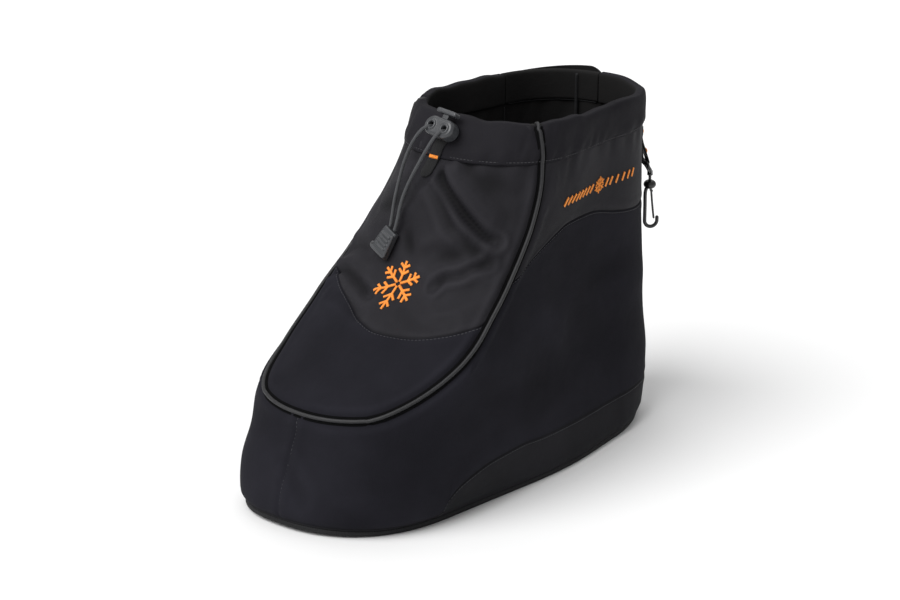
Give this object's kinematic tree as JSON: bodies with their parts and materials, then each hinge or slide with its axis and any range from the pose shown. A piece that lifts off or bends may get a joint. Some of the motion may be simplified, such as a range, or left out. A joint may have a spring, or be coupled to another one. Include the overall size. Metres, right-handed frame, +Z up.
{
  "type": "winter overshoe",
  "caption": "Insulated fabric overshoe for the left foot, worn over a boot: padded upper, thin sole, drawcord collar with cord lock, overlapping back flap, piping and a swivel clip.",
  "frame": {"origin": "on the floor under the middle of the shoe's box", "axes": "+Z up, -Y towards the toe, +X to the outer side of the left shoe"},
  "size_m": [0.1562, 0.3456, 0.2587],
  "materials": {
    "shell_fabric": "matte padded fabric",
    "lining_fabric": "brushed lining",
    "sole_fabric": "coated sole cloth",
    "piping_fabric": "covered cord, slight sheen",
    "webbing": "woven webbing",
    "lock_plastic": "moulded, satin",
    "cord": "braided elastic cord",
    "clip_plastic": "moulded acetal, semi-gloss"
  },
  "bodies": {
    "shoe": {"outsole": "sole_fabric", "insole": "lining_fabric", "upper": "shell_fabric", "collar_casing": "shell_fabric", "closure_flap": "shell_fabric", "piping": "piping_fabric", "front_tab": "webbing", "lock_body": "lock_plastic", "back_loop": "webbing", "drawcord_left": "cord", "drawcord_right": "cord", "cord_end": "lock_plastic"},
    "button": {"lock_button": "lock_plastic"},
    "ring": {"clip_ring": "clip_plastic"},
    "hook": {"clip_hook": "clip_plastic"},
    "gate": {"clip_gate": "clip_plastic"}
  },
  "joints": [
    {"name": "button_press", "type": "slide", "parent": "shoe", "child": "button", "axis": [-0.0885, -0.5546, -0.8274], "range_m": [0, 0.0025], "stiffness_N_per_m": 400},
    {"name": "ring_swing", "type": "hinge", "parent": "shoe", "child": "ring", "pos_m": [0.03739, 0.16132, 0.1855], "axis": [0.7982, -0.6024, 0], "range_deg": [0, 70]},
    {"name": "hook_swivel", "type": "hinge", "parent": "ring", "child": "hook", "pos_m": [0.04004, 0.16483, 0.1675], "axis": [0, 0, 1], "continuous": true},
    {"name": "gate_open", "type": "hinge", "parent": "hook", "child": "gate", "pos_m": [0.04076, 0.16579, 0.1627], "axis": [-0.7982, 0.6024, 0], "range_deg": [0, 12], "stiffness_Nm_per_rad": 0.01}
  ]
}
